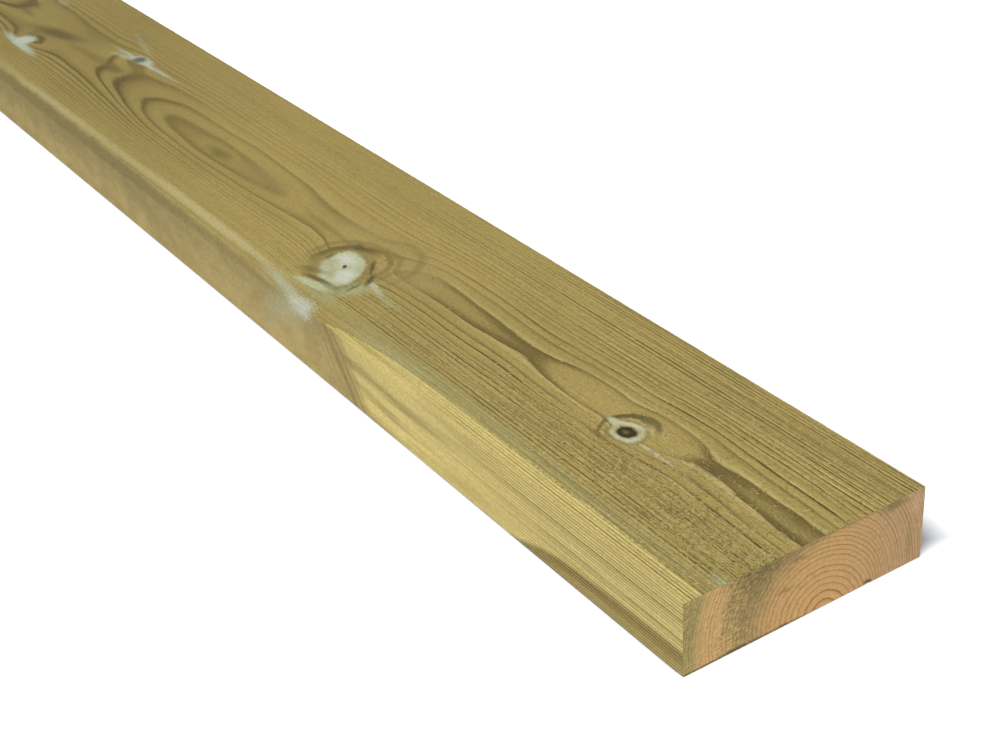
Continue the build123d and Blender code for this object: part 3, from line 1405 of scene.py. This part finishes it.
        # Even saw lines that wander a little, some of them deeper
        wander = streaks(tree, coords, self.wander)
        height = coordinate(tree, coords, "Z")
        across = coordinate(tree, coords, "Y")
        height = plus(tree, height, across)
        count = {"operation": "MULTIPLY_ADD", 1: 1 / (self.saw_pitch * MM)}
        turns = add_node(tree, Kind.MATH, count, {0: height, 2: wander})
        turns = fraction(tree, turns)
        stops = ((0.0, 0.25), (0.25, 0.0), (0.50, 0.05), (0.78, 1.0), (0.95, 0.5))
        lines = ramp(tree, turns, stops)
        deep = streaks(tree, coords, self.saw_line)
        deep = remap(tree, deep, 0.60, 0.38, 0.40, 1.0)
        lines = times(tree, lines, deep)
        # Single deep scores at their heights, which come and go along the edge
        level = coordinate(tree, coords, "Z")
        sway = remap(tree, wander, 0.3, 0.7, -0.25 * MM, 0.25 * MM)
        level = plus(tree, level, sway)
        level = remap(tree, level, self.low[2], self.high[2])
        thick = (self.high[2] - self.low[2]) / MM
        stops = tuple(
            ((up + side * self.score_half) / thick, weight * (side == 0))
            for up, weight in self.scores
            for side in (-1, 0, 1)
        )
        cuts = ramp(tree, level, stops)
        fade = streaks(tree, coords, self.deep_line, 1.0)
        fade = remap(tree, fade, 0.36, 0.56, 0.35, 1.0)
        cuts = times(tree, cuts, fade)
        lines = greater(tree, lines, cuts)
        soft = streaks(tree, coords, self.soft_line)
        soft = remap(tree, soft, 0.56, 0.36, 0.0, 0.55)
        return blend(tree, lined, soft, lines)

    def _colour(
        self, tree: Tree, coords: Socket, marks: dict[str, Socket], dark: Socket, ridge_highlight: Socket
    ) -> Socket:
        """The wood's colour before its stains.

        Args:
            tree: the node tree.
            coords: the object coordinates.
            marks: the mesh's attributes and the fine noises.
            dark: the darkness of the grain.
            ridge_highlight: the painted highlights on the ridges behind the grain.

        Returns:
            The colour socket.
        """
        edge = marks["edge"]
        along = coordinate(tree, coords, "X")
        height = coordinate(tree, coords, "Z")
        slanted = {"operation": "MULTIPLY_ADD", 1: self.turn_slant}
        slant = add_node(tree, Kind.MATH, slanted, {0: height, 2: along})
        turn = self.high[0] - self.turn * MM
        mottle = streaks(tree, coords, self.mottle, 3.0)
        wavy = add_node(tree, Kind.MATH, {"operation": "MULTIPLY_ADD", 1: 5 * MM}, {0: mottle, 2: slant})
        brown = remap(tree, wavy, turn + 8 * MM, turn - 4 * MM)
        brown = times(tree, brown, edge)

        # The pale outer wood of the edge runs a little way over the front face, to a straight line
        loose = remap(tree, marks["fuzz"], 0.3, 0.7, -0.45, 0.45)
        outer = plus(tree, marks["outer"], loose)
        outer = remap(tree, outer, -0.25, 0.25)
        outer = greater(tree, outer, edge)
        lines = self._edge_lines(tree, coords, along)
        lines = times(tree, lines, outer)
        # A dark fan of streaks where the edge turns brown, then mottling
        fan = remap(tree, wavy, turn + (2 - self.fan) * MM, turn + 2 * MM)
        rays = {"noise_dimensions": "1D", "Scale": 1 / (self.fan_line * MM), "Detail": 2.0}
        rays = add_node(tree, Kind.NOISE, rays, {"W": wavy})
        rays = remap(tree, rays, 0.62, 0.40, 0.25, 1.1)
        fan = times(tree, fan, rays)
        blots = remap(tree, mottle, 0.64, 0.36, 0.0, 0.36)
        blots = greater(tree, blots, fan)
        lines = blend(tree, brown, lines, blots)
        inner = remap(tree, outer, 0.0, 1.0, 1.0, 0.15)
        dark = times(tree, dark, inner)
        dark = greater(tree, dark, lines)

        tones = []
        for base, pale, bark in (
            (self.early, self.pale_early, self.brown_early),
            (self.late, self.pale_late, self.brown_late),
        ):
            two = COLOURS | {MIX_A: linear(base), MIX_B: linear(pale)}
            light = add_node(tree, Kind.MIX, two, {"Factor": outer}, MIX_RESULT)
            tones.append(tint(tree, brown, light, bark))
        # Painted highlights on the ridges behind the late wood
        bright = add_node(tree, Kind.MATH, TIMES | {1: 0.6}, {0: ridge_highlight})
        first = tint(tree, bright, tones[0], self.ridge_highlight)
        both = {"Factor": dark, MIX_A: first, MIX_B: tones[1]}
        wood = add_node(tree, Kind.MIX, COLOURS, both, MIX_RESULT)

        # A dark growth line low on the edge, with browner wood below it
        above = remap(tree, marks["growth"], 3.4, 0.0, soft=True)
        below = remap(tree, marks["growth"], -5.2, -1.2, 0.74, 1.0, soft=True)
        grown = times(tree, above, below)
        grown = times(tree, grown, edge)
        lined = remap(tree, lines, 0.0, 0.6, 0.60, 1.0)
        grown = times(tree, grown, lined)
        wood = tint(tree, grown, wood, self.growth)
        shade = streaks(tree, coords, self.blotch, 3.0)
        shade = remap(tree, shade, 0.3, 0.7, 0.93, 1.07)
        # The face is a little darker away from the trimmed end
        deep = remap(tree, along, *(self.high[0] - place * MM for place in self.darker_far), 1.0, 0.90)
        plain = add_node(tree, Kind.MIX, {"B": 1.0}, {"Factor": edge, "A": deep})
        shade = times(tree, shade, plain)
        return scaled(tree, wood, shade)

    def _fuzz_light_and_shade(self, tree: Tree, colour: Socket, marks: dict[str, Socket]) -> Socket:
        """Paints light on the standing fuzz and painted shade in streaks and small hollows between it, with a
        painted highlight on the fuzz that stands highest.

        Args:
            tree: the node tree.
            colour: the colour so far.
            marks: the mesh's attributes and the fine noises.

        Returns:
            The colour socket.
        """
        streak = remap(tree, marks["fibre"], 0.3, 0.7, -0.09, 0.09)
        fuzz = remap(tree, marks["fuzz"], 0.3, 0.7, -0.20, 0.20)
        # Painted shade in the small pits between the fuzz
        pits = remap(tree, marks["speck"], 0.34, 0.24, 0.0, -0.30)
        uneven = plus(tree, streak, fuzz)
        uneven = plus(tree, uneven, pits)
        plain = remap(tree, marks["edge"], 0.0, 1.0, 1.0, 0.35)
        amount = times(tree, marks["torn"], plain)
        factor = add_node(tree, Kind.MATH, {"operation": "MULTIPLY_ADD", 2: 1.0}, {0: uneven, 1: amount})
        shaded = scaled(tree, colour, factor)
        # Painted highlight on the fuzz that stands highest
        lifted = remap(tree, marks["fuzz"], 0.62, 0.74, 0.0, 0.5)
        lifted = times(tree, lifted, amount)
        return tint(tree, lifted, shaded, self.ridge_highlight)


@dataclass(frozen=True)
class CrosscutPine:
    """Softwood cut across the grain by a fine saw: fresh pinkish tan with thin rings, a little fuzzy
    and green towards the treated edges."""

    high: Vector
    low: Vector
    name: str = "pine_end_grain_crosscut"
    early: str = "#DBB074"
    pink: str = "#E0B87B"
    green: str = "#BA9F69"
    belt: str = "#D0B172"
    grey: str = "#BEAC6E"
    square_side: str = "#CCA97A"
    late: str = "#B08C5E"
    fleck_dark: str = "#6F6238"
    fleck_light: str = "#CFB683"
    roughness: float = 0.82
    specular: float = 0.2
    relief: float = 0.3

    # Sizes of the patterns, in mm. Real torn fibre is too fine to show in the render, so the strokes are
    # drawn as coarse as they need to show.
    stroke: tuple[float, float] = (2.4, 0.8)
    fuzz: float = 6.0

    # Slant of the saw's strokes, in degrees, and the count of the outermost ring
    slant: float = 28.0
    outermost: float = 34.0

    # Where the rings get clearer, the belt stronger and the wood greyer, from the waney edge
    clearer: tuple[float, float] = (30.0, 88.0)
    belted: tuple[float, float] = (75.0, 45.0)
    greyer: tuple[float, float] = (75.0, 105.0)

    def build(self) -> bpy.types.Material:
        """Makes the material.

        Returns:
            The material.
        """
        material, tree, coords = start_finish(self.name)
        ring = add_node(tree, Kind.ATTRIBUTE, {"attribute_name": "ring"}, {}, "Fac")
        stroke = {
            "vector_type": "TEXTURE",
            "Rotation": (math.radians(self.slant), 0, 0),
            "Scale": (1.0, self.stroke[0] * MM, self.stroke[1] * MM),
        }
        drawn = add_node(tree, Kind.MAPPING, stroke, {"Vector": coords})
        grain = add_node(tree, Kind.NOISE, {"Scale": 1.0, "Detail": 3.0}, {"Vector": drawn})
        fuzz = add_node(tree, Kind.NOISE, {"Scale": 1 / (self.fuzz * MM), "Detail": 3.0}, {"Vector": coords})
        loose = remap(tree, grain, 0.2, 0.8, -0.09, 0.09)
        phase = plus(tree, ring, loose)
        phase = fraction(tree, phase)
        stops = ((0.0, 0.45), (0.07, 0.0), (0.62, 0.05), (0.80, 0.28), (0.92, 0.95), (0.98, 0.8))
        lines = ramp(tree, phase, stops)
        one_way = {"noise_dimensions": "1D", "Scale": 0.8, "Detail": 1.0}
        weight = add_node(tree, Kind.NOISE, one_way, {"W": ring})
        weight = remap(tree, weight, 0.3, 0.65, 0.35, 1.0)
        lines = times(tree, lines, weight)
        # The rings are clearest towards the square edge
        across = coordinate(tree, coords, "Y")
        clear = remap(tree, across, *self._across(self.clearer), 0.80, 0.95)
        lines = add_node(tree, Kind.MATH, TIMES | {"use_clamp": True}, {0: lines, 1: clear})
        colour, thick = self._zones(tree, across, ring, grain, fuzz)
        darker = COLOURS | {"blend_type": "MULTIPLY", MIX_B: linear(self.late)}
        wood = add_node(tree, Kind.MIX, darker, {"Factor": lines, MIX_A: colour}, MIX_RESULT)
        wood = lay_stains(tree, coords, wood, END_STAINS, self.high, self.low)
        wood = self._flecks(tree, drawn, wood, thick)
        # Light and shade of the strokes, calmer where little fibre is torn
        shade = remap(tree, grain, 0.25, 0.75, 0.66, 1.32)
        amount = remap(tree, thick, 0.1, 0.8, 0.55, 1.0)
        shade = add_node(tree, Kind.MIX, {"A": 1.0}, {"Factor": amount, "B": shade})
        shaded = scaled(tree, wood, shade)
        bump = add_node(tree, Kind.BUMP, {"Strength": 0.7, "Distance": self.relief * MM}, {"Height": grain})
        rough = remap(tree, grain, 0.0, 1.0, self.roughness - 0.08, self.roughness + 0.1)
        links = {"Base Color": shaded, "Normal": bump, "Roughness": rough}
        feed_shader(tree, {"Specular IOR Level": self.specular}, links)
        return material

    def _across(self, places: tuple[float, float]) -> tuple[float, ...]:
        """Turns places across the board, in mm, into Y coordinates."""
        return tuple(self.low[1] + place * MM for place in places)

    def _zones(
        self, tree: Tree, across: Socket, ring: Socket, grain: Socket, fuzz: Socket
    ) -> tuple[Socket, Socket]:
        """Colour zones that follow the rings: tan heart, a green belt, pink sapwood, a grey rim.

        Args:
            tree: the node tree.
            across: the Y coordinate.
            ring: the ring count.
            grain: fine noise.
            fuzz: coarse noise.

        Returns:
            The sockets with the colour and with how thick the torn fibre is.
        """
        wide = remap(tree, fuzz, 0.2, 0.8, -2.0, 2.0)
        fine = remap(tree, grain, 0.2, 0.8, -1.8, 1.8)
        moved = plus(tree, wide, fine)
        moved = plus(tree, moved, ring)
        share = remap(tree, moved, 0.0, self.outermost)
        stops = (
            (0.0, self.early), (0.22, self.early), (0.41, self.green), (0.54, self.belt),
            (0.655, self.pink), (0.77, self.pink), (0.86, self.grey),
        )
        zones = ramp(tree, share, stops)
        # The belt is strong towards the waney edge only
        side = remap(tree, across, *self._across(self.belted))
        far = remap(tree, across, *self._across(self.greyer))
        two = COLOURS | {MIX_A: linear(self.early), MIX_B: linear(self.square_side)}
        plain = add_node(tree, Kind.MIX, two, {"Factor": far}, MIX_RESULT)
        both = {"Factor": side, MIX_A: plain, MIX_B: zones}
        # Torn fibre stands thickest in the belt and the rim
        stops = ((0.0, 0.10), (0.32, 0.35), (0.43, 0.9), (0.56, 1.0), (0.65, 0.25), (0.78, 0.25), (0.87, 0.6))
        thick = ramp(tree, share, stops)
        thick = add_node(tree, Kind.MIX, {"A": 0.12}, {"Factor": side, "B": thick})
        return add_node(tree, Kind.MIX, COLOURS, both, MIX_RESULT), thick

    def _flecks(self, tree: Tree, drawn: Socket, colour: Socket, thick: Socket) -> Socket:
        """Dark and bright flecks of torn fibre along the saw's strokes.

        Args:
            tree: the node tree.
            drawn: coordinates drawn out along the strokes.
            colour: the colour so far.
            thick: how thick the torn fibre is.

        Returns:
            The colour socket.
        """
        noise = add_node(tree, Kind.NOISE, {"Scale": 1.5, "Detail": 2.0, "Roughness": 0.7}, {"Vector": drawn})
        for tone, limits in (
            (self.fleck_dark, (0.51, 0.62, 0.0, 0.80)),
            (self.fleck_light, (0.45, 0.34, 0.0, 0.6)),
        ):
            cover = times(tree, remap(tree, noise, *limits), thick)
            colour = tint(tree, cover, colour, tone)
        return colour


@dataclass(frozen=True)
class TornPine:
    """Slivers of early wood and a few dark ones, dark partly as late wood and partly as painted shade: mostly
    paler than the face, dull and mixed.
    """

    name: str = "pine_fibre_torn"
    light: str = "#CFBE84"
    middle: str = "#AC995C"
    # Dark slivers, partly late wood and partly painted shade beside the torn fibres
    dark: str = "#6F5F33"
    mixing: float = 2.0
    roughness: float = 0.85
    specular: float = 0.2

    def build(self) -> bpy.types.Material:
        """Makes the material.

        Returns:
            The material.
        """
        material, tree, coords = start_finish(self.name)
        noise = add_node(tree, Kind.NOISE, {"Scale": 1 / (self.mixing * MM)}, {"Vector": coords})
        stops = ((0.28, self.dark), (0.38, self.middle), (0.58, self.light))
        colour = ramp(tree, noise, stops)
        values = {"Roughness": self.roughness, "Specular IOR Level": self.specular}
        feed_shader(tree, values, {"Base Color": colour})
        return material


@dataclass(frozen=True)
class Lamp:
    """A round soft lamp, in metres and watts."""

    name: str
    place: tuple[float, float, float]
    size: float
    power: float


@dataclass(frozen=True)
class Studio:
    """A pale floor, soft light from the upper left, a weak fill from the front, and the camera."""

    floor_half: float = 6.0
    floor_gap: float = 0.3 * MM
    floor_colour: str = "#EEF1F7"
    floor_glow: float = 0.03
    floor_white: float = 0.8
    shadow_reach: tuple[float, float] = (0.008, 0.042)
    contact: float = 0.0002
    sky: float = 0.2
    aim: tuple[float, float, float] = (0.65, 0.0, 0.0)
    lamps: tuple[Lamp, ...] = (
        Lamp("key", (1.40, -1.35, 2.57), 1.5, 68.0),
        Lamp("fill", (2.80, -1.35, 1.60), 2.2, 15.0),
    )
    camera_place: tuple[float, float, float] = (1.28149, -0.36921, 0.41935)
    camera_turn: tuple[float, float, float] = (59.473, 2.973, 56.223)
    lens: float = 62.54

    def build(self) -> None:
        """Makes the floor, the lamps, the sky and the camera."""
        self._floor()
        for lamp in self.lamps:
            self._hang(lamp)
        self._sky()
        self._camera()

    def _floor(self) -> None:
        """Lays a floor that shows the board's shadow and is white to the camera elsewhere."""
        bpy.ops.object.select_all(action="DESELECT")
        bpy.ops.mesh.primitive_plane_add(size=2 * self.floor_half, location=(0, 0, -self.floor_gap))
        floor = bpy.context.object
        floor.name = "floor"
        bpy.ops.object.transform_apply(location=True, rotation=True, scale=True)
        material = bpy.data.materials.new("matt_white_paper")
        material.use_nodes = True
        tree = material.node_tree
        tree.nodes.clear()
        matt = add_node(tree, Kind.DIFFUSE, {"Color": linear(self.floor_colour)}, {})
        # Only against the board, and beside it away from the light, is the floor left dark enough to
        # show a shadow
        place = add_node(tree, Kind.COORDS, {}, {}, "Object")
        x, y = (coordinate(tree, place, name) for name in "XY")
        (back, low, _), (front, high, _) = CAD_BOX
        near, far = self.shadow_reach
        white = []
        for socket, start, stop in (
            (y, high + near, high + far),
            (y, low - self.contact, low - 3 * self.contact),
            (x, front - near, front + near),
            (x, back + near, back - near),
        ):
            white.append(remap(tree, socket, start, stop, soft=True))
        level, *others = white
        for other in others:
            level = greater(tree, level, other)
        level = remap(tree, level, 0.0, 1.0, self.floor_glow, self.floor_white)
        glow = add_node(tree, Kind.EMISSION, {}, {"Strength": level})
        seen = add_node(tree, Kind.ADD_SHADER, {}, {0: matt, 1: glow})
        camera = add_node(tree, Kind.LIGHT_PATH, {}, {}, "Is Camera Ray")
        both = add_node(tree, Kind.MIX_SHADER, {}, {"Fac": camera, 1: matt, 2: seen})
        add_node(tree, Kind.SURFACE_OUT, {}, {"Surface": both})
        floor.data.materials.append(material)

    def _hang(self, lamp: Lamp) -> None:
        """Hangs a lamp and turns it to the board.

        Args:
            lamp: the lamp.
        """
        light = bpy.data.lights.new(lamp.name, "AREA")
        light.energy = lamp.power
        light.shape = "DISK"
        light.size = lamp.size
        holder = bpy.data.objects.new(lamp.name, light)
        holder.location = lamp.place
        aim = Vector(self.aim) - Vector(lamp.place)
        holder.rotation_euler = aim.to_track_quat("-Z", "Y").to_euler()
        bpy.context.scene.collection.objects.link(holder)

    def _sky(self) -> None:
        """Fills the world with even light, and shows white to the camera and in reflections."""
        world = bpy.data.worlds.new("studio")
        bpy.context.scene.world = world
        world.use_nodes = True
        tree = world.node_tree
        tree.nodes.clear()
        rays = [
            add_node(tree, Kind.LIGHT_PATH, {}, {}, name)
            for name in ("Is Camera Ray", "Is Glossy Ray", "Is Transmission Ray")
        ]
        shown = greater(tree, rays[0], rays[1])
        shown = greater(tree, shown, rays[2])
        level = remap(tree, shown, 0.0, 1.0, self.sky, 1.0)
        light = add_node(tree, Kind.BACKGROUND, {"Color": (1, 1, 1, 1)}, {"Strength": level})
        add_node(tree, Kind.WORLD_OUT, {}, {"Surface": light})

    def _camera(self) -> None:
        """Sets the camera where the photograph was taken from."""
        lens = bpy.data.cameras.new("camera")
        lens.lens = self.lens
        lens.sensor_fit = "HORIZONTAL"
        camera = bpy.data.objects.new("camera", lens)
        camera.location = self.camera_place
        camera.rotation_euler = [math.radians(a) for a in self.camera_turn]
        bpy.context.scene.collection.objects.link(camera)
        bpy.context.scene.camera = camera


def main() -> None:
    """Builds and dresses the board, then the studio round it."""
    logging.basicConfig(level=logging.INFO)
    bpy.context.scene.view_settings.view_transform = "Standard"
    low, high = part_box(SawnBoard.replaced)
    log = Log(thickness=(high[2] - low[2]) / MM)

    maker = SawnBoard(log, low, high)
    board = maker.build()
    starts = (0.0, *maker.stretches[:-1])
    sawn = [SawnPine(high, low, *ends).build() for ends in zip(starts, maker.stretches)]
    maker.dress(board, sawn, CrosscutPine(high, low).build())
    LOG.info("%s: %d faces", board.name, len(board.data.polygons))

    tearing = TornFibres(maker)
    fibres = tearing.build()
    tearing.dress(fibres, TornPine().build())
    LOG.info("%s: %d faces", fibres.name, len(fibres.data.polygons))

    Studio().build()


if __name__ == "__main__":
    main()
